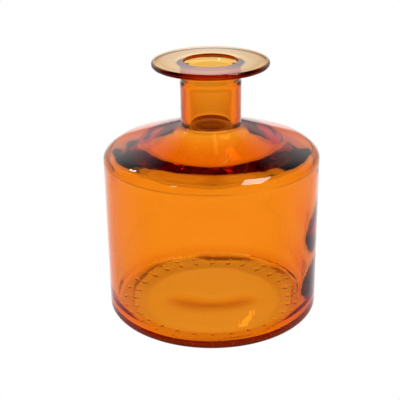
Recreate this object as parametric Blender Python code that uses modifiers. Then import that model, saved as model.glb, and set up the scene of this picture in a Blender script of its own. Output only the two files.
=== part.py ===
"""Wide glass bottle vase with a flared lip, as the sections its moulds shape.

The glass is one moulded body. It is modelled as six turned sections that meet
at level or upright planes: lip flange, neck, shoulder, body wall, knurled heel
ring and the recessed floor. Sections that touch keep a small gap.
Metres, +Z up, origin on the axis at the level the vase stands on.
"""

import math

import bmesh
import bpy
from mathutils import Matrix

MM = 0.001
TURN_STEPS = 48
SECTION_GAP = 0.3 * MM

# Outer form
HEIGHT = 120.0 * MM
BODY_RADIUS = 49.5 * MM
WALL_TOP = 75.4 * MM
SHOULDER_REACH = 21.3 * MM
SHOULDER_RISE = 7.9 * MM
NECK_RADIUS = 13.7 * MM
NECK_FOOT = 91.1 * MM
FOOT_ROUNDING = 0.4 * MM
LIP_RADIUS = 26.4 * MM
LIP_THICKNESS = 2.6 * MM
LIP_DISH = 0.15 * MM
LIP_ROUNDING = 1.2 * MM
HEEL_REACH = 6.1 * MM
HEEL_HEIGHT = 4.3 * MM

# Inner form
MOUTH_RADIUS = 12.2 * MM
MOUTH_EDGE = 0.4 * MM
MOUTH_STEP_HEIGHT = 117.6 * MM
MOUTH_STEP_RISE = 3.4 * MM
BORE_TOP_RADIUS = 10.12 * MM
BORE_FOOT_RADIUS = 9.5 * MM
BORE_FOOT = 89.66 * MM
BORE_FOOT_ROUNDING = 3.8 * MM
SHOULDER_THICKNESS = [
    # radius, glass measured upright, from the neck out
    (15.5 * MM, 2.7 * MM),
    (20.0 * MM, 5.65 * MM),
    (25.0 * MM, 6.55 * MM),
    (30.0 * MM, 7.35 * MM),
    (35.0 * MM, 5.5 * MM),
    (40.0 * MM, 4.3 * MM),
]
SHOULDER_ROUNDING = 2.0 * MM
CAVITY_RADIUS = 46.1 * MM
CAVITY_TOP = 75.9 * MM
CAVITY_TOP_ROUNDING = 3.9 * MM
FLOOR_LEVEL = 3.2 * MM
FLOOR_FILLET = 3.0 * MM
FLOOR_DOME_RADIUS = 18.0 * MM
FLOOR_DOME_EDGE = 7.0 * MM
FLOOR_DOME_RISE = 0.7 * MM

# Underside
KNURL_HEIGHT = 0.4 * MM
KNURL_COUNT = 28
KNURL_INNER = 37.2 * MM
KNURL_OUTER = 43.6 * MM
KNURL_WIDTH = 1.3 * MM
KNURL_ROOT = 0.5 * MM
BEARING_INNER = 36.6 * MM
RECESS_LEVEL = 0.9 * MM

# Where the sections meet
LIP_JOINT = 114.2 * MM
NECK_JOINT = 95.6 * MM
SHOULDER_JOINT = 70.0 * MM
HEEL_JOINT = 12.5 * MM


def arc(centre, reach, rise, start_deg, end_deg, steps):
    """Points of an ellipse arc in the (radius, height) plane."""
    points = []
    for i in range(steps + 1):
        angle = math.radians(start_deg + (end_deg - start_deg) * i / steps)
        points.append((centre[0] + reach * math.cos(angle), centre[1] + rise * math.sin(angle)))
    return points


def towards(start, end, distance):
    """The point a distance from start on the way to end."""
    share = distance / math.dist(start, end)
    return (start[0] + (end[0] - start[0]) * share, start[1] + (end[1] - start[1]) * share)


def rounded_corner(before, corner, after, reach, steps=4):
    """A soft corner that leaves each side at a distance reach from the corner."""
    first = towards(corner, before, reach)
    last = towards(corner, after, reach)
    points = []
    for i in range(steps + 1):
        t = i / steps
        a, b, c = (1 - t) ** 2, 2 * t * (1 - t), t * t
        points.append(tuple(a * first[k] + b * corner[k] + c * last[k] for k in (0, 1)))
    return points


def tangent_angle(corner, centre, reach, rise):
    """Degrees at which a line from corner touches the outer side of an ellipse."""
    x = (corner[0] - centre[0]) / reach
    z = (corner[1] - centre[1]) / rise
    return math.degrees(math.atan2(z, x) - math.acos(1 / math.hypot(x, z)))


def shoulder_turn():
    """Centre of the shoulder's ellipse, and where the cone from the neck touches it."""
    centre = (BODY_RADIUS - SHOULDER_REACH, WALL_TOP)
    return centre, tangent_angle((NECK_RADIUS, NECK_FOOT), centre, SHOULDER_REACH, SHOULDER_RISE)


def outer_height(radius):
    """Height of the shoulder's outer surface."""
    centre, touch = shoulder_turn()
    touch_radius = centre[0] + SHOULDER_REACH * math.cos(math.radians(touch))
    touch_height = centre[1] + SHOULDER_RISE * math.sin(math.radians(touch))
    if radius < touch_radius:
        share = (radius - NECK_RADIUS) / (touch_radius - NECK_RADIUS)
        return NECK_FOOT + share * (touch_height - NECK_FOOT)
    across = (radius - centre[0]) / SHOULDER_REACH
    return centre[1] + SHOULDER_RISE * math.sqrt(max(0.0, 1 - across * across))


def bore_radius(height):
    """The bore narrows evenly down the neck."""
    share = (height - BORE_FOOT) / (MOUTH_STEP_HEIGHT - BORE_FOOT)
    return BORE_FOOT_RADIUS + share * (BORE_TOP_RADIUS - BORE_FOOT_RADIUS)


def turned(name, profile, collection, closed=True):
    """A profile of (radius, height) points, down its outer side, turned about Z."""
    mesh = bpy.data.meshes.new(name)
    count = len(profile)
    edges = [(i, (i + 1) % count) for i in range(count if closed else count - 1)]
    mesh.from_pydata([(radius, 0, height) for radius, height in profile], edges, [])
    part = bpy.data.objects.new(name, mesh)
    collection.objects.link(part)
    screw = part.modifiers.new("Turn", "SCREW")
    screw.steps = TURN_STEPS
    screw.render_steps = TURN_STEPS
    screw.use_merge_vertices = True
    screw.merge_threshold = 0.01 * MM
    screw.use_smooth_shade = True
    return part


def glass(name, colour):
    """Clear tinted glass for one section."""
    material = bpy.data.materials.new(name)
    material.use_nodes = True
    shader = material.node_tree.nodes["Principled BSDF"]
    shader.inputs["Base Color"].default_value = (*colour, 1)
    shader.inputs["Roughness"].default_value = 0.03
    shader.inputs["Metallic"].default_value = 0.0
    shader.inputs["Transmission Weight"].default_value = 1.0
    shader.inputs["IOR"].default_value = 1.5
    return material


def lip_flange(collection):
    """Flat flared lip with a full round edge, and a mouth wider than the bore."""
    under = HEIGHT - LIP_THICKNESS
    edge = (LIP_RADIUS - LIP_THICKNESS / 2, HEIGHT - LIP_THICKNESS / 2)
    corner = (NECK_RADIUS, under)
    bottom = LIP_JOINT + SECTION_GAP / 2
    profile = arc(edge, LIP_THICKNESS / 2, LIP_THICKNESS / 2, 90, -90, 10)
    profile += rounded_corner((edge[0], under), corner, (NECK_RADIUS, bottom), LIP_ROUNDING)
    profile += [(NECK_RADIUS, bottom), (BORE_TOP_RADIUS, bottom)]
    for i in range(7):
        share = (1 - math.cos(math.pi * i / 6)) / 2
        radius = BORE_TOP_RADIUS + share * (MOUTH_RADIUS - BORE_TOP_RADIUS)
        profile.append((radius, MOUTH_STEP_HEIGHT + MOUTH_STEP_RISE * (i / 6 - 0.5)))
    mouth = (MOUTH_RADIUS, HEIGHT - LIP_DISH)
    profile += rounded_corner(profile[-1], mouth, (edge[0], HEIGHT), MOUTH_EDGE, 3)
    return turned("lip_flange", profile, collection)


def neck(collection):
    """Straight tube between the lip and the shoulder."""
    top = LIP_JOINT - SECTION_GAP / 2
    bottom = NECK_JOINT + SECTION_GAP / 2
    profile = [(NECK_RADIUS, top), (NECK_RADIUS, bottom)]
    profile += [(bore_radius(bottom), bottom), (bore_radius(top), top)]
    return turned("neck", profile, collection)


def shoulder(collection):
    """Shallow cone that rolls over into the wall, thickest half way out."""
    top = NECK_JOINT - SECTION_GAP / 2
    bottom = SHOULDER_JOINT + SECTION_GAP / 2
    centre, touch = shoulder_turn()
    turn = arc(centre, SHOULDER_REACH, SHOULDER_RISE, touch, 0, 12)
    above = (NECK_RADIUS, NECK_FOOT + FOOT_ROUNDING)
    profile = [(NECK_RADIUS, top)]
    profile += rounded_corner(above, (NECK_RADIUS, NECK_FOOT), turn[0], FOOT_ROUNDING) + turn
    profile += [(BODY_RADIUS, bottom), (CAVITY_RADIUS, bottom)]
    corners = [(CAVITY_RADIUS, CAVITY_TOP, CAVITY_TOP_ROUNDING)]
    for radius, thickness in reversed(SHOULDER_THICKNESS):
        corners.append((radius, outer_height(radius) - thickness, SHOULDER_ROUNDING))
    corners.append((BORE_FOOT_RADIUS, BORE_FOOT, BORE_FOOT_ROUNDING))
    ends = [(CAVITY_RADIUS, bottom)] + [corner[:2] for corner in corners] + [(bore_radius(top), top)]
    for k, (radius, height, reach) in enumerate(corners):
        profile += rounded_corner(ends[k], (radius, height), ends[k + 2], reach, 3)
    profile += [(bore_radius(top), top)]
    return turned("shoulder", profile, collection)


def body_wall(collection):
    """Upright wall."""
    top = SHOULDER_JOINT - SECTION_GAP / 2
    bottom = HEEL_JOINT + SECTION_GAP / 2
    profile = [(BODY_RADIUS, top), (BODY_RADIUS, bottom), (CAVITY_RADIUS, bottom), (CAVITY_RADIUS, top)]
    return turned("body_wall", profile, collection)


def knurl_bars(collection):
    """Radial bars under the heel that the vase stands on."""
    shape = bmesh.new()
    length = KNURL_OUTER - KNURL_INNER
    size = (length, KNURL_WIDTH, KNURL_HEIGHT + KNURL_ROOT)
    middle = ((KNURL_OUTER + KNURL_INNER) / 2, 0, size[2] / 2)
    for i in range(KNURL_COUNT):
        turn = Matrix.Rotation(math.tau * i / KNURL_COUNT, 4, "Z")
        place = turn @ Matrix.Translation(middle) @ Matrix.Diagonal((*size, 1))
        bmesh.ops.create_cube(shape, size=1, matrix=place)
    mesh = bpy.data.meshes.new("knurl_bars")
    shape.to_mesh(mesh)
    shape.free()
    bars = bpy.data.objects.new("knurl_bars", mesh)
    collection.objects.link(bars)
    bars.hide_render = True
    bars.display_type = "WIRE"
    return bars


def heel_ring(collection, cutters):
    """Rounded heel, bearing ring with radial knurls, and the inner corner."""
    top = HEEL_JOINT - SECTION_GAP / 2
    heel = (BODY_RADIUS - HEEL_REACH, HEEL_HEIGHT)
    inside = BEARING_INNER + SECTION_GAP / 2
    corner = (CAVITY_RADIUS, FLOOR_LEVEL)
    profile = [(BODY_RADIUS, top)]
    profile += arc(heel, HEEL_REACH, HEEL_HEIGHT - KNURL_HEIGHT, 0, -90, 8)
    profile += [(inside, KNURL_HEIGHT), (inside, FLOOR_LEVEL)]
    profile += rounded_corner((inside, FLOOR_LEVEL), corner, (CAVITY_RADIUS, top), FLOOR_FILLET, 6)
    profile += [(CAVITY_RADIUS, top)]
    ring = turned("heel_ring", profile, collection)
    union = ring.modifiers.new("Knurls", "BOOLEAN")
    union.operation = "UNION"
    union.solver = "EXACT"
    union.object = knurl_bars(cutters)
    return ring


def base_floor(collection):
    """Floor disc with a slightly raised middle, recessed underneath."""
    edge = BEARING_INNER - SECTION_GAP / 2
    profile = [(0, FLOOR_LEVEL + FLOOR_DOME_RISE)]
    for i in range(7):
        radius = FLOOR_DOME_RADIUS + FLOOR_DOME_EDGE * (i / 6 - 0.5)
        profile.append((radius, FLOOR_LEVEL + FLOOR_DOME_RISE * (1 + math.cos(math.pi * i / 6)) / 2))
    profile += [(edge, FLOOR_LEVEL), (edge, RECESS_LEVEL), (0, RECESS_LEVEL)]
    return turned("base_floor", profile, collection, closed=False)


def main():
    for old in list(bpy.data.objects):
        bpy.data.objects.remove(old, do_unlink=True)
    vase = bpy.data.collections.new("bottle_vase")
    cutters = bpy.data.collections.new("cutters")
    bpy.context.scene.collection.children.link(vase)
    bpy.context.scene.collection.children.link(cutters)
    stain = (0.95, 0.26, 0.03)
    lip_stain = (0.80, 0.58, 0.40)
    sections = [
        lip_flange(vase),
        neck(vase),
        shoulder(vase),
        body_wall(vase),
        heel_ring(vase, cutters),
        base_floor(vase),
    ]
    for section in sections:
        colour = lip_stain if section.name == "lip_flange" else stain
        section.data.materials.append(glass(section.name + "_glass", colour))


main()
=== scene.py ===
import math

import bmesh
import bpy
from mathutils import Matrix, Vector, noise


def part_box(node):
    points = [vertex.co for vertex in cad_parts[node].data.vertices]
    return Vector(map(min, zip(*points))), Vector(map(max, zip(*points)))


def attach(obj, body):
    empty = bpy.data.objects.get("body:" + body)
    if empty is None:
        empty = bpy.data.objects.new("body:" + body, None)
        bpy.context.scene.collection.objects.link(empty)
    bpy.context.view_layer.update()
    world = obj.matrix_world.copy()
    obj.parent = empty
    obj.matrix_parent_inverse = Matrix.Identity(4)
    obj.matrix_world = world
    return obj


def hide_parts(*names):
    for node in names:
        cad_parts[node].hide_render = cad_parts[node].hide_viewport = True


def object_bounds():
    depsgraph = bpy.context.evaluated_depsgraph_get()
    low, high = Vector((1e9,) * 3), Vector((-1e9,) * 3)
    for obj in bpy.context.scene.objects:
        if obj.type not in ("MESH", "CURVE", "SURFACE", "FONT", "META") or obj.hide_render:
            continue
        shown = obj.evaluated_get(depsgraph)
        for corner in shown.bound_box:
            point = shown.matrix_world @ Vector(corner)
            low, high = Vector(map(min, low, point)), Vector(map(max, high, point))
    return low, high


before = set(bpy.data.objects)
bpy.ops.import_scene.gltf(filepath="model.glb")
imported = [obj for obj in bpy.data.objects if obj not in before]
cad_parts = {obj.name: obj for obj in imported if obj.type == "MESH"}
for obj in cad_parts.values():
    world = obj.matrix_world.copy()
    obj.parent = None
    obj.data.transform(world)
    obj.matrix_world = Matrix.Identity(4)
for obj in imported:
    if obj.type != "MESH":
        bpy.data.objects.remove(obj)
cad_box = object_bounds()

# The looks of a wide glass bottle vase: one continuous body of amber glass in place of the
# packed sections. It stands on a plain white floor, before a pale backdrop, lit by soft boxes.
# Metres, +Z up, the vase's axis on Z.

MM = 0.001

# ---- driving sizes, from the frame ----
HEIGHT = cad_box[1][2]
BODY_RADIUS = cad_box[1][0]
LIP_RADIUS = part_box("lip_flange")[1].x
NECK_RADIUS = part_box("neck")[1].x

# ---- outer form ----
WALL_TOP = 75.4 * MM
SHOULDER_REACH = 21.3 * MM
SHOULDER_RISE = 7.9 * MM
NECK_FOOT = 91.1 * MM
FOOT_ROUNDING = 0.4 * MM
LIP_BEAD = 1.3 * MM
LIP_PLATE = 2.6 * MM
LIP_PLATE_EDGE = 2.4 * MM
LIP_BEAD_SIDE = 0.6 * MM
LIP_DISH = 0.15 * MM
LIP_DISH_WIDTH = 10.0 * MM
LIP_ROUNDING = 1.8 * MM
# The line the mould left round the neck
PARTING_LEVEL = 111.4 * MM
PARTING_DEPTH = 0.22 * MM
PARTING_WIDTH = 0.9 * MM
HEEL_REACH = 6.1 * MM
HEEL_HEIGHT = 4.3 * MM

# ---- inner form ----
# The mouth, bore, cavity, floor level and shoulder's thickness began as rounded results of a search
# that traced light through a flat section and compared it with the photo. Some were changed since.
MOUTH_RADIUS = 12.2 * MM
MOUTH_EDGE = 0.4 * MM
MOUTH_STEP_HEIGHT = 117.6 * MM
MOUTH_STEP_RISE = 3.6 * MM
BORE_TOP_RADIUS = 10.12 * MM
CAVITY_RADIUS = 45.8 * MM
WALL_TURN = 6.0 * MM
WALL_ROUNDING = 3.0 * MM
FLOOR_LEVEL = 3.1 * MM
FLOOR_FILLET = 3.0 * MM
# A thicker crescent in the front half of the floor
CRESCENT_PLACE = Vector((0.0, 17.0 * MM))
CRESCENT_RADIUS = 26.0 * MM
CRESCENT_WIDTH = 5.0 * MM
CRESCENT_RISE = 1.1 * MM
CRESCENT_FRONT = (0.5, 0.9)
CRESCENT_MARGIN = 0.1 * MM
CAVITY_TOP = 75.9 * MM
CAVITY_TOP_RADIUS = 46.1 * MM
CAVITY_TOP_ROUNDING = 6.0 * MM
SHOULDER_THICKNESS = [
    # radius, glass measured upright, from the wall in
    (40.0 * MM, 4.3 * MM),
    (35.0 * MM, 5.5 * MM),
    (30.0 * MM, 7.2 * MM),
    (25.0 * MM, 6.3 * MM),
    (20.0 * MM, 5.1 * MM),
    (15.5 * MM, 2.7 * MM),
]
SHOULDER_ROUNDING = 4.0 * MM
BORE_FOOT_RADIUS = 9.5 * MM
BORE_FOOT = 89.66 * MM
BORE_FOOT_ROUNDING = 3.8 * MM
# The blown bubble is uneven inside: how far it strays, and over what length
WALL_STRAY = 0.10 * MM
SHOULDER_STRAY = 0.55 * MM
FLOOR_STRAY = 0.12 * MM
OUTER_STRAY = 0.03 * MM
STRAY_LENGTH = 24.0 * MM
FINE_STRAY = 0.4
FINE_STRAY_SCALE = 2.3
OUTER_STRAY_PLACE = Vector((7, 3, 1))
# The heights or radii over which these grow or fade
SHOULDER_STRAY_FROM = (68 * MM, 76 * MM)
FLOOR_STRAY_UNTIL = (10 * MM, 22 * MM)
CALM_MIDDLE = (12 * MM, 20 * MM)
WALL_FROM = (5 * MM, 15 * MM)
WALL_OUTSIDE = (30 * MM, 44 * MM)
# The walls are thinner at the sides than at the front and back
SIDE_THINNING = 0.35 * MM
# A fold where the bubble met the base: the floor steps up a little towards the wall
FOLD_WIDTH = 1.2 * MM
FOLD_RISE = 1.3 * MM
FOLD_INSIDE = 30 * MM
FOLD_TOP = 10 * MM
FOLD_CEILING = 12 * MM
# Read off the photo, worked out and rounded. The front points are guesses.
FOLD_LINE = [
    # degrees round the axis from +X, radius
    (0, 39.5 * MM), (20, 43.0 * MM), (38, 41.3 * MM), (53, 44.0 * MM), (70, 39.8 * MM),
    (90, 38.8 * MM), (108, 44.0 * MM), (135, 41.8 * MM), (155, 39.7 * MM), (185, 37.8 * MM),
    (225, 38.2 * MM), (270, 38.0 * MM), (315, 38.8 * MM), (340, 39.3 * MM),
]
# Swellings of the wall: degrees round the axis, height, spread in degrees and in height, depth
SWELLINGS = [
    (-2, 40 * MM, 20, 8 * MM, 2.0 * MM),
    (2, 14 * MM, 26, 9 * MM, 2.6 * MM),
]
# The shoulder is thicker at its two sides: how much, and over what cosines, heights and radii
SHOULDER_GATHER = 1.0 * MM
GATHER_SIDES = (0.7, 1.0)
GATHER_HEIGHTS = (76 * MM, 78 * MM)
GATHER_RADII = (26 * MM, 34 * MM)
# Glass gathered in the corner between wall and floor, most of it on the right
GATHER_RIGHT = 1.6 * MM
GATHER_SPREAD = 5.0 * MM
GATHER_TURN = math.radians(5)

# ---- underside ----
KNURL_COUNT = 28
KNURL_HEIGHT = 0.4 * MM
KNURL_INNER = 36.9 * MM
KNURL_OUTER = 43.2 * MM
KNURL_WIDTH = 1.3 * MM
KNURL_SIDE_FALL = 0.15 * MM
KNURL_END_FALL = 0.25 * MM
KNURL_SOFT = 0.1 * MM
# A bar is lower in its middle: the distances over which it rises again, and what is left there
KNURL_WAIST = (1.6 * MM, 2.2 * MM)
KNURL_WAIST_SHARE = 0.1
BEARING_INNER = 36.6 * MM
BEARING_STEP = 6.0 * MM
RECESS_LEVEL = 0.75 * MM
# The bearing flat ends this far outside BEARING_INNER, and the recess starts with a short flat
BEARING_MARGIN = 0.3 * MM
RECESS_MARGIN = 0.4 * MM

# ---- mesh ----
PROFILE_STEP = 2.6 * MM
FLOOR_STEP = 1.5 * MM
FINE_FLOOR_START = 36.0 * MM
FINE_FLOOR_STEP = 0.5 * MM
BEARING_SPACING = 0.35 * MM
ARC_STEPS = 20
CORNER_STEPS = 8
MOUTH_STEPS = 10
DISH_STEPS = 9
# The mesh's meridians for one knurl, as distances along the bearing ring
KNURL_STEPS = [distance * MM for distance in (-3.2, -1.95, -0.8, -0.5, 0.5, 0.8, 1.95, 3.2, 4.53)]

# ---- glass ----
ABSORPTION_COLOUR = (0.964, 0.767, 0.25)
ABSORPTION_DENSITY = 800.0
GLASS_IOR = 1.5
# The bearing ring is frosted up to one height and clear from the other
BEARING_ROUGHNESS = 0.5
BEARING_WORN = 0.6 * MM
BEARING_CLEAR = 0.95 * MM
# Faint waves on the surface, which start above the floor
WAVE_SCALE = 120.0
WAVE_DETAIL = 3.0
WAVE_STRETCH = (1.0, 1.0, 0.5)
WAVE_DEPTH = 0.03 * MM
WAVE_START = 8.0 * MM
WAVE_FULL = 20.0 * MM

# ---- camera ----
# Fitted to the vase's outline in the photo, together with the outer form
CAMERA_PLACE = Vector((0.0, -0.4048, 0.2233))
CAMERA_FORWARD = Vector((-0.0125, 0.92158, -0.388))
CAMERA_ROLL = math.radians(-0.8)
CAMERA_LENS = 84.24
CAMERA_SENSOR = 36.0
CAMERA_CLIP = 0.01

# ---- light ----
FLOOR_SIZE = 3.0
FLOOR_SIDES = 96
# The room's brightness is fitted to the photo, part of it by the same search as the inner form.
# What the glass lets through from the floor, by the distance behind the vase. The low stop at -0.045,
# under the front of the heel, is a painted contact shadow.
TABLE_GLOW_AND_SHADOW = [
    (-1.0, 0.05), (-0.5, 0.54), (-0.11, 0.9), (-0.045, 0.8), (-0.038, 1.26), (0.2, 1.26),
    (0.26, 0.84), (0.33, 1.07), (0.40, 1.0), (0.48, 0.85), (0.6, 0.9), (1.0, 0.9),
]
# What the glass lets through of the room, by the sine of the elevation, behind the vase and
# in front of it: a pale backdrop, a dark ceiling, a dark camera's side
THROUGH_BEHIND = [(-0.2, 0.9), (0.0, 0.8), (0.12, 0.25), (0.34, 0.2), (0.7, 0.03)]
THROUGH_FRONT = [(-0.2, 0.5), (0.0, 0.05), (1.0, 0.03)]
# What its surface mirrors, by the direction's parts: below, by depth, a floor that darkens
# towards the camera's side; above, a backdrop by height, by its left and right, and by depth
MIRRORED_TABLE = [(-0.3, 0.03), (0.12, 0.25), (0.6, 0.45), (0.75, 0.7), (0.88, 1.1)]
MIRRORED_BACKDROP = [
    (0.0, 0.5), (0.14, 0.9), (0.24, 1.35), (0.39, 1.4), (0.54, 0.9), (0.68, 0.4), (0.76, 0.0),
]
BACKDROP_MIDDLE = [
    (-0.3, 0.75), (-0.065, 0.5), (-0.01, 1.0), (0.01, 1.0), (0.065, 0.35), (0.3, 0.6),
]
BACKDROP_EDGE = [(0.3, 0.0), (0.75, 1.0)]
# How gradually the room changes from front to behind, and from floor to backdrop
BEHIND_EDGE = [(-0.15, 0.0), (0.15, 1.0)]
HORIZON_EDGE = [(-0.03, 0.0), (0.03, 1.0)]
GLASS_BOUNCES = 40
GLOSSY_BOUNCES = 24
SOFT_BOXES = [
    # name, azimuth and elevation in degrees, distance, width, height, radiance
    ("window_box", 99, 66, 1.0, 0.42, 0.26, 8.0),
    ("left_spark", -135, 43, 1.0, 0.09, 0.07, 10.0),
    ("front_spark", -59, 60, 1.0, 0.11, 0.06, 10.0),
    ("sheen_strip", 173, 55, 1.0, 0.06, 0.13, 2.2),
    ("floor_spark", 175.9, 28.1, 0.98, 0.012, 0.012, 8.0),
]


# ---------------------------------------------------------------- profile

def arc(centre, reach, rise, start_deg, end_deg, steps):
    """Points of an ellipse arc in the (radius, height) plane."""
    points = []
    for i in range(steps + 1):
        angle = math.radians(start_deg + (end_deg - start_deg) * i / steps)
        points.append((centre[0] + reach * math.cos(angle), centre[1] + rise * math.sin(angle)))
    return points


def towards(start, end, distance):
    share = distance / math.dist(start, end)
    return (start[0] + (end[0] - start[0]) * share, start[1] + (end[1] - start[1]) * share)


def rounded_corner(before, corner, after, reach, steps=10):
    """A soft corner that leaves each side at a distance reach, or at nearly half of a short side."""
    first = towards(corner, before, min(reach, 0.49 * math.dist(before, corner)))
    last = towards(corner, after, min(reach, 0.49 * math.dist(after, corner)))
    points = []
    for i in range(steps + 1):
        t = i / steps
        a, b, c = (1 - t) ** 2, 2 * t * (1 - t), t * t
        points.append(tuple(a * first[k] + b * corner[k] + c * last[k] for k in (0, 1)))
    return points


def tangent_angle(corner, centre, reach, rise):
    """Degrees at which a line from corner touches the outer side of an ellipse."""
    x = (corner[0] - centre[0]) / reach
    z = (corner[1] - centre[1]) / rise
    return math.degrees(math.atan2(z, x) - math.acos(1 / math.hypot(x, z)))


def filled(points, spacing):
    """The same path with no step longer than spacing."""
    path = [points[0]]
    for start, end in zip(points[:-1], points[1:]):
        count = max(1, math.ceil(math.dist(start, end) / spacing))
        for k in range(1, count + 1):
            path.append(tuple(start[i] + (end[i] - start[i]) * k / count for i in (0, 1)))
    return path


def outer_height(radius):
    """Height of the shoulder's outer surface."""
    centre = (BODY_RADIUS - SHOULDER_REACH, WALL_TOP)
    touch = math.radians(tangent_angle((NECK_RADIUS, NECK_FOOT), centre, SHOULDER_REACH, SHOULDER_RISE))
    touch_radius = centre[0] + SHOULDER_REACH * math.cos(touch)
    touch_height = centre[1] + SHOULDER_RISE * math.sin(touch)
    if radius < touch_radius:
        share = (radius - NECK_RADIUS) / (touch_radius - NECK_RADIUS)
        return NECK_FOOT + share * (touch_height - NECK_FOOT)
    across = (radius - centre[0]) / SHOULDER_REACH
    return centre[1] + SHOULDER_RISE * math.sqrt(max(0.0, 1 - across * across))


def inner_profile():
    """From the floor's centre out, up the wall, under the shoulder and up the bore."""
    edge = (CAVITY_RADIUS - FLOOR_FILLET, FLOOR_LEVEL)
    fine = (FINE_FLOOR_START, FLOOR_LEVEL)
    points = filled([(0.0, FLOOR_LEVEL), fine], FLOOR_STEP)
    points += filled([fine, edge], FINE_FLOOR_STEP)[1:]
    corners = [
        (CAVITY_RADIUS, FLOOR_LEVEL, FLOOR_FILLET),
        (CAVITY_RADIUS, CAVITY_TOP - WALL_TURN, WALL_ROUNDING),
        (CAVITY_TOP_RADIUS, CAVITY_TOP, CAVITY_TOP_ROUNDING),
    ]
    for radius, thickness in SHOULDER_THICKNESS:
        corners.append((radius, outer_height(radius) - thickness, SHOULDER_ROUNDING))
    corners.append((BORE_FOOT_RADIUS, BORE_FOOT, BORE_FOOT_ROUNDING))
    ends = [edge] + [corner[:2] for corner in corners] + [(BORE_TOP_RADIUS, MOUTH_STEP_HEIGHT)]
    for k, (radius, height, reach) in enumerate(corners):
        points += rounded_corner(ends[k], (radius, height), ends[k + 2], reach, CORNER_STEPS)
    return points + [(BORE_TOP_RADIUS, MOUTH_STEP_HEIGHT - MOUTH_STEP_RISE / 2)]


def lip_profile():
    """Over the stepped mouth, out along the dished top, round the bead and under to the neck's line."""
    dish = HEIGHT - LIP_DISH
    edge = (LIP_RADIUS - LIP_BEAD, HEIGHT - LIP_BEAD)
    points = []
    for i in range(MOUTH_STEPS + 1):
        share = i / MOUTH_STEPS
        wide = smooth_step(0, MOUTH_STEPS, i) * (MOUTH_RADIUS - BORE_TOP_RADIUS)
        height = MOUTH_STEP_HEIGHT + MOUTH_STEP_RISE * (share - 0.5)
        points.append((BORE_TOP_RADIUS + wide, height))
    points += rounded_corner(points[-1], (MOUTH_RADIUS, dish), (edge[0], dish), MOUTH_EDGE, CORNER_STEPS)
    start = points[-1][0]
    for i in range(1, DISH_STEPS):
        radius = start + (edge[0] - start) * i / DISH_STEPS
        points.append((radius, dish + LIP_DISH * smooth_step(0.0, LIP_DISH_WIDTH, radius - start)))
    points += arc(edge, LIP_BEAD, LIP_BEAD, 90, -90, ARC_STEPS)
    under = (NECK_RADIUS, HEIGHT - LIP_PLATE)
    points.append((edge[0] - LIP_BEAD_SIDE, HEIGHT - LIP_PLATE_EDGE))
    down = (NECK_RADIUS, under[1] - 5 * LIP_ROUNDING)
    points += rounded_corner(points[-1], under, down, LIP_ROUNDING, CORNER_STEPS)
    for share, depth in ((0.5, 0.0), (0.2, 1.0), (-0.2, 1.0), (-0.5, 0.0)):
        points.append((NECK_RADIUS - depth * PARTING_DEPTH, PARTING_LEVEL + share * PARTING_WIDTH))
    return points


def outer_profile():
    """Down the neck, over the shoulder, down the wall and round the heel to the bearing ring."""
    corner = (NECK_RADIUS, NECK_FOOT)
    centre = (BODY_RADIUS - SHOULDER_REACH, WALL_TOP)
    touch = tangent_angle(corner, centre, SHOULDER_REACH, SHOULDER_RISE)
    turn = arc(centre, SHOULDER_REACH, SHOULDER_RISE, touch, 0, ARC_STEPS)
    above = (NECK_RADIUS, NECK_FOOT + FOOT_ROUNDING)
    heel = (BODY_RADIUS - HEEL_REACH, HEEL_HEIGHT)
    points = rounded_corner(above, corner, turn[0], FOOT_ROUNDING) + turn
    points += arc(heel, HEEL_REACH, HEEL_HEIGHT - KNURL_HEIGHT, 0, -90, ARC_STEPS)
    return points


def underside_profile():
    """The bearing ring and the shallow recess, in to the axis."""
    foot = (BEARING_INNER + BEARING_MARGIN, KNURL_HEIGHT)
    ring = filled([(BODY_RADIUS - HEEL_REACH, KNURL_HEIGHT), foot], BEARING_SPACING)[1:]
    step = (BEARING_INNER - BEARING_STEP, RECESS_LEVEL)
    inside = (step[0] - RECESS_MARGIN, RECESS_LEVEL)
    return ring + [step, inside, (0.0, RECESS_LEVEL)]


def turn_angles():
    """Angles of the mesh's meridians."""
    middle = (KNURL_INNER + KNURL_OUTER) / 2
    angles = []
    for i in range(KNURL_COUNT):
        for step in KNURL_STEPS:
            angles.append(math.tau * i / KNURL_COUNT + step / middle)
    return angles


def smooth_step(low, high, value):
    t = min(max((value - low) / (high - low), 0.0), 1.0)
    return t * t * (3 - 2 * t)


def knurl_drop(radius, angle):
    """How far the bearing ring reaches down at a place: 1 on a bar's ends, 0 between bars."""
    period = math.tau / KNURL_COUNT
    across = abs((angle + period / 2) % period - period / 2) * radius
    half = KNURL_WIDTH / 2
    side = 1 - smooth_step(half - KNURL_SIDE_FALL, half + KNURL_SOFT, across)
    ends = smooth_step(KNURL_INNER - KNURL_SOFT, KNURL_INNER + KNURL_END_FALL, radius)
    ends *= 1 - smooth_step(KNURL_OUTER - KNURL_END_FALL, KNURL_OUTER + KNURL_SOFT, radius)
    middle = (KNURL_INNER + KNURL_OUTER) / 2
    waist = smooth_step(*KNURL_WAIST, abs(radius - middle))
    return side * ends * (KNURL_WAIST_SHARE + (1 - KNURL_WAIST_SHARE) * waist)


def side_of(profile, index):
    """Unit normal of the profile in the (radius, height) plane, into the glass on the inside."""
    before = profile[max(index - 1, 0)]
    after = profile[min(index + 1, len(profile) - 1)]
    along = (after[0] - before[0], after[1] - before[1])
    length = math.hypot(*along)
    return (along[1] / length, -along[0] / length)


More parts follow.
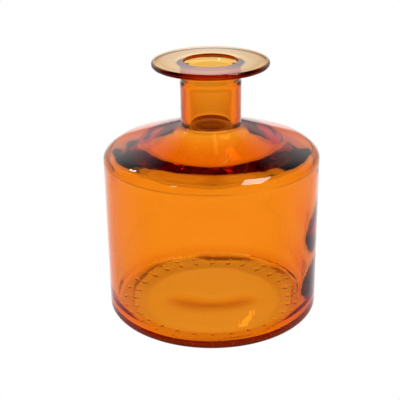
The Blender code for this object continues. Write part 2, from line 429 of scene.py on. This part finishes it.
def inner_stray(radius, height, angle):
    """How far the blown inside strays into the glass."""
    place = Vector((radius * math.cos(angle), radius * math.sin(angle), height)) / STRAY_LENGTH
    size = WALL_STRAY
    size += (SHOULDER_STRAY - WALL_STRAY) * smooth_step(*SHOULDER_STRAY_FROM, height)
    size += (FLOOR_STRAY - WALL_STRAY) * (1 - smooth_step(*FLOOR_STRAY_UNTIL, height))
    calm = smooth_step(*CALM_MIDDLE, radius)
    stray = size * calm * (noise.noise(place) + FINE_STRAY * noise.noise(place * FINE_STRAY_SCALE))
    walls = smooth_step(*WALL_FROM, height) * calm * smooth_step(*WALL_OUTSIDE, radius)
    stray += SIDE_THINNING * math.cos(2 * angle) * walls
    stray -= swelling(height, angle) * walls
    sides = smooth_step(*GATHER_SIDES, abs(math.cos(angle))) * smooth_step(*GATHER_HEIGHTS, height)
    stray -= SHOULDER_GATHER * sides * smooth_step(*GATHER_RADII, radius)
    stray -= gathered(radius, height, angle)
    stray -= fold(radius, height, angle)
    return stray - crescent(radius, height, angle)


def gathered(radius, height, angle):
    """Extra glass in the corner between wall and floor."""
    off = math.dist((radius, height), (CAVITY_RADIUS, FLOOR_LEVEL)) / GATHER_SPREAD
    right = max(0.0, math.cos(angle - GATHER_TURN)) ** 3
    return GATHER_RIGHT * right * math.exp(-off * off)


def swelling(height, angle):
    """Extra glass on the inside of the wall, summed over the swellings."""
    depth = 0.0
    for turn, level, spread, rise, most in SWELLINGS:
        off = (math.degrees(angle) - turn + 180) % 360 - 180
        depth += most * math.exp(-((off / spread) ** 2) - ((height - level) / rise) ** 2)
    return depth


def fold_radius(angle):
    """Where the fold runs, with an even sweep from one point of its line to the next."""
    turn = math.degrees(angle) % 360
    line = FOLD_LINE + [(360 + FOLD_LINE[0][0], FOLD_LINE[0][1])]
    for (start, first), (end, last) in zip(line[:-1], line[1:]):
        if start <= turn <= end:
            return first + (last - first) * smooth_step(start, end, turn)
    return FOLD_LINE[0][1]


def fold(radius, height, angle):
    """The step up of the floor at the wavy line where the bubble met the base."""
    if radius < FOLD_INSIDE or height > FOLD_CEILING:
        return 0.0
    start = fold_radius(angle)
    rise = FOLD_RISE * smooth_step(start - FOLD_WIDTH / 2, start + FOLD_WIDTH / 2, radius)
    return rise * (1 - smooth_step(FLOOR_LEVEL, FOLD_TOP, height))


def crescent(radius, height, angle):
    """Extra glass along the front arc of a circle in the floor."""
    if height > FLOOR_LEVEL + CRESCENT_MARGIN:
        return 0.0
    offset = Vector((radius * math.cos(angle), radius * math.sin(angle))) - CRESCENT_PLACE
    away = (offset.length - CRESCENT_RADIUS) / CRESCENT_WIDTH
    front = smooth_step(*CRESCENT_FRONT, -offset.y / max(offset.length, CRESCENT_MARGIN))
    return CRESCENT_RISE * front * math.exp(-away * away)


def outer_stray(radius, height, angle):
    """How far the moulded outside strays inwards."""
    place = Vector((radius * math.cos(angle), radius * math.sin(angle), height)) / STRAY_LENGTH
    return OUTER_STRAY * (1 - noise.noise(place + OUTER_STRAY_PLACE))


def glass_mesh():
    """One closed body: the inside from the floor's centre up, over the lip, down and under."""
    inner = filled(inner_profile(), PROFILE_STEP)
    outer = filled(lip_profile() + outer_profile(), PROFILE_STEP)
    under = filled(underside_profile(), PROFILE_STEP)
    profile = inner[:-1] + outer + under
    angles = turn_angles()
    count = len(angles)
    last_inner = len(inner) - 2
    first_under = last_inner + 1 + len(outer)
    vertices = []
    rings = []
    for index, (radius, height) in enumerate(profile):
        if radius == 0.0:
            rings.append([len(vertices)])
            lift = crescent(0.0, height, 0.0) if index <= last_inner else 0.0
            vertices.append((0.0, 0.0, height + lift))
            continue
        rings.append(list(range(len(vertices), len(vertices) + count)))
        side = side_of(profile, index)
        for angle in angles:
            stray = 0.0
            if index <= last_inner:
                stray = inner_stray(radius, height, angle)
            elif index < first_under and HEEL_HEIGHT < height < WALL_TOP:
                stray = outer_stray(radius, height, angle)
            out = radius + side[0] * stray
            z = height + side[1] * stray
            if index >= first_under and radius > BEARING_INNER:
                z = height - KNURL_HEIGHT * knurl_drop(radius, angle)
            vertices.append((out * math.cos(angle), out * math.sin(angle), z))
    faces = []
    for lower, upper in zip(rings[:-1], rings[1:]):
        for i in range(count):
            j = (i + 1) % count
            if len(lower) == 1:
                faces.append((lower[0], upper[i], upper[j]))
            elif len(upper) == 1:
                faces.append((lower[i], upper[0], lower[j]))
            else:
                faces.append((lower[i], upper[i], upper[j], lower[j]))
    mesh = bpy.data.meshes.new("vase_glass")
    mesh.from_pydata(vertices, [], faces)
    mesh.validate()
    mesh.shade_smooth()
    return mesh


def glass_material():
    """Clear amber glass: faint waves on its surface, and a frosted bearing ring."""
    material = bpy.data.materials.new("amber_glass")
    material.use_nodes = True
    nodes = material.node_tree.nodes
    links = material.node_tree.links
    nodes.clear()
    output = nodes.new("ShaderNodeOutputMaterial")
    surface = nodes.new("ShaderNodeBsdfPrincipled")
    surface.inputs["Base Color"].default_value = (1, 1, 1, 1)
    place = nodes.new("ShaderNodeNewGeometry")
    split = nodes.new("ShaderNodeSeparateXYZ")
    worn = nodes.new("ShaderNodeMapRange")
    worn.inputs["From Min"].default_value = BEARING_WORN
    worn.inputs["From Max"].default_value = BEARING_CLEAR
    worn.inputs["To Min"].default_value = BEARING_ROUGHNESS
    worn.inputs["To Max"].default_value = 0.0
    links.new(place.outputs["Position"], split.inputs["Vector"])
    links.new(split.outputs["Z"], worn.inputs["Value"])
    links.new(worn.outputs["Result"], surface.inputs["Roughness"])
    surface.inputs["IOR"].default_value = GLASS_IOR
    surface.inputs["Transmission Weight"].default_value = 1.0
    waves = nodes.new("ShaderNodeTexNoise")
    waves.inputs["Scale"].default_value = WAVE_SCALE
    waves.inputs["Detail"].default_value = WAVE_DETAIL
    stretch = nodes.new("ShaderNodeVectorMath")
    stretch.operation = "MULTIPLY"
    stretch.inputs[1].default_value = WAVE_STRETCH
    relief = nodes.new("ShaderNodeBump")
    relief.inputs["Distance"].default_value = WAVE_DEPTH
    strength = nodes.new("ShaderNodeMapRange")
    strength.inputs["From Min"].default_value = WAVE_START
    strength.inputs["From Max"].default_value = WAVE_FULL
    links.new(split.outputs["Z"], strength.inputs["Value"])
    links.new(strength.outputs["Result"], relief.inputs["Strength"])
    links.new(place.outputs["Position"], stretch.inputs[0])
    links.new(stretch.outputs["Vector"], waves.inputs["Vector"])
    links.new(waves.outputs["Fac"], relief.inputs["Height"])
    links.new(relief.outputs["Normal"], surface.inputs["Normal"])
    inside = nodes.new("ShaderNodeVolumeAbsorption")
    inside.inputs["Color"].default_value = (*ABSORPTION_COLOUR, 1)
    inside.inputs["Density"].default_value = ABSORPTION_DENSITY
    links.new(surface.outputs["BSDF"], output.inputs["Surface"])
    links.new(inside.outputs["Volume"], output.inputs["Volume"])
    return material


# ---------------------------------------------------------------- stage

def light_table():
    """A round floor, plain white to the camera, that glows through the glass by TABLE_GLOW_AND_SHADOW."""
    shape = bmesh.new()
    bmesh.ops.create_circle(shape, cap_ends=True, segments=FLOOR_SIDES, radius=FLOOR_SIZE)
    mesh = bpy.data.meshes.new("light_table")
    shape.to_mesh(mesh)
    shape.free()
    table = bpy.data.objects.new("light_table", mesh)
    bpy.context.scene.collection.objects.link(table)
    table.visible_glossy = False
    table.visible_diffuse = False
    material = bpy.data.materials.new("light_table")
    material.use_nodes = True
    shader = material.node_tree.nodes["Principled BSDF"]
    shader.inputs["Base Color"].default_value = (0, 0, 0, 1)
    shader.inputs["Specular IOR Level"].default_value = 0.0
    shader.inputs["Emission Color"].default_value = (1, 1, 1, 1)
    shader.inputs["Emission Strength"].default_value = 1.0
    tree = material.node_tree
    place = tree.nodes.new("ShaderNodeNewGeometry")
    split = tree.nodes.new("ShaderNodeSeparateXYZ")
    ray = tree.nodes.new("ShaderNodeLightPath")
    tree.links.new(place.outputs["Position"], split.inputs["Vector"])
    # The glow's levels hold a painted contact shadow just under the front of the heel.
    glow = graded(tree, split.outputs["Y"], TABLE_GLOW_AND_SHADOW)
    tree.links.new(chosen(tree, ray.outputs["Is Camera Ray"], glow, 1.0), shader.inputs["Emission Color"])
    mesh.materials.append(material)
    return table


def graded(tree, source, stops):
    """A grey level that follows stops of (value, level), for a value between -1 and 1."""
    share = tree.nodes.new("ShaderNodeMath")
    share.operation = "MULTIPLY_ADD"
    share.inputs[1].default_value = 0.5
    share.inputs[2].default_value = 0.5
    tree.links.new(source, share.inputs[0])
    ramp = tree.nodes.new("ShaderNodeValToRGB")
    points = ramp.color_ramp.elements
    while len(points) < len(stops):
        points.new(0.5)
    for point, (value, level) in zip(points, stops):
        point.position = value / 2 + 0.5
        point.color = (level, level, level, 1)
    tree.links.new(share.outputs["Value"], ramp.inputs["Fac"])
    return ramp.outputs["Color"]


def chosen(tree, factor, first, second):
    """First where factor is 0, second where it is 1."""
    mix = tree.nodes.new("ShaderNodeMix")
    mix.data_type = "RGBA"
    tree.links.new(factor, mix.inputs["Factor"])
    for socket, value in (("A", first), ("B", second)):
        if isinstance(value, float):
            mix.inputs[socket].default_value = (value, value, value, 1)
        else:
            tree.links.new(value, mix.inputs[socket])
    return mix.outputs["Result"]


def surroundings():
    """White to the camera; a pale backdrop and a dark room to the glass, seen through or mirrored."""
    world = bpy.data.worlds.new("studio")
    bpy.context.scene.world = world
    world.use_nodes = True
    tree = world.node_tree
    place = tree.nodes.new("ShaderNodeTexCoord")
    split = tree.nodes.new("ShaderNodeSeparateXYZ")
    tree.links.new(place.outputs["Generated"], split.inputs["Vector"])
    depth, height = split.outputs["Y"], split.outputs["Z"]
    ray = tree.nodes.new("ShaderNodeLightPath")

    behind = graded(tree, depth, BEHIND_EDGE)
    above = graded(tree, height, HORIZON_EDGE)
    front_room = graded(tree, height, THROUGH_FRONT)
    back_room = graded(tree, height, THROUGH_BEHIND)
    through = chosen(tree, behind, front_room, back_room)
    standing = graded(tree, depth, BACKDROP_EDGE)
    backdrop = chosen(tree, standing, 0.0, graded(tree, height, MIRRORED_BACKDROP))
    middle = tree.nodes.new("ShaderNodeMix")
    middle.data_type = "RGBA"
    middle.blend_type = "MULTIPLY"
    middle.inputs["Factor"].default_value = 1.0
    tree.links.new(backdrop, middle.inputs["A"])
    tree.links.new(graded(tree, split.outputs["X"], BACKDROP_MIDDLE), middle.inputs["B"])
    backdrop = middle.outputs["Result"]
    mirrored = chosen(tree, above, graded(tree, depth, MIRRORED_TABLE), backdrop)
    glass = chosen(tree, ray.outputs["Is Transmission Ray"], mirrored, through)
    seen = chosen(tree, ray.outputs["Is Camera Ray"], glass, 1.0)
    tree.links.new(seen, tree.nodes["Background"].inputs["Color"])


def soft_box(name, azimuth, elevation, distance, width, height, radiance):
    """A rectangular soft box that faces the vase; azimuth 0 is the camera's side."""
    target = Vector((0, 0, HEIGHT / 2))
    turn = math.radians(azimuth)
    lift = math.radians(elevation)
    level = math.cos(lift)
    away = Vector((math.sin(turn) * level, -math.cos(turn) * level, math.sin(lift)))
    light = bpy.data.lights.new(name, "AREA")
    light.shape = "RECTANGLE"
    light.size = width
    light.size_y = height
    light.energy = radiance * math.pi * width * height
    lamp = bpy.data.objects.new(name, light)
    bpy.context.scene.collection.objects.link(lamp)
    facing = away.to_track_quat("Z", "Y").to_matrix().to_4x4()
    lamp.matrix_world = Matrix.Translation(target + away * distance) @ facing


def camera():
    """A view from a little above the vase, tipped by a small roll."""
    forward = CAMERA_FORWARD.normalized()
    level = forward.cross(Vector((0, 0, 1))).normalized()
    upright = level.cross(forward)
    right = level * math.cos(CAMERA_ROLL) + upright * math.sin(CAMERA_ROLL)
    up = upright * math.cos(CAMERA_ROLL) - level * math.sin(CAMERA_ROLL)
    data = bpy.data.cameras.new("camera")
    data.lens = CAMERA_LENS
    data.sensor_width = CAMERA_SENSOR
    data.clip_start = CAMERA_CLIP
    view = bpy.data.objects.new("camera", data)
    bpy.context.scene.collection.objects.link(view)
    turn = Matrix((right, up, -forward)).transposed().to_4x4()
    view.matrix_world = Matrix.Translation(CAMERA_PLACE) @ turn
    bpy.context.scene.camera = view


camera()
light_table()
surroundings()
for box in SOFT_BOXES:
    soft_box(*box)

vase = bpy.data.objects.new("vase_glass", glass_mesh())
bpy.context.scene.collection.objects.link(vase)
vase.data.materials.append(glass_material())
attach(vase, "root")
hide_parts("lip_flange", "neck", "shoulder", "body_wall", "heel_ring", "base_floor")

scene = bpy.context.scene
scene.view_settings.view_transform = "Standard"
scene.cycles.max_bounces = GLASS_BOUNCES
scene.cycles.transmission_bounces = GLASS_BOUNCES
scene.cycles.glossy_bounces = GLOSSY_BOUNCES
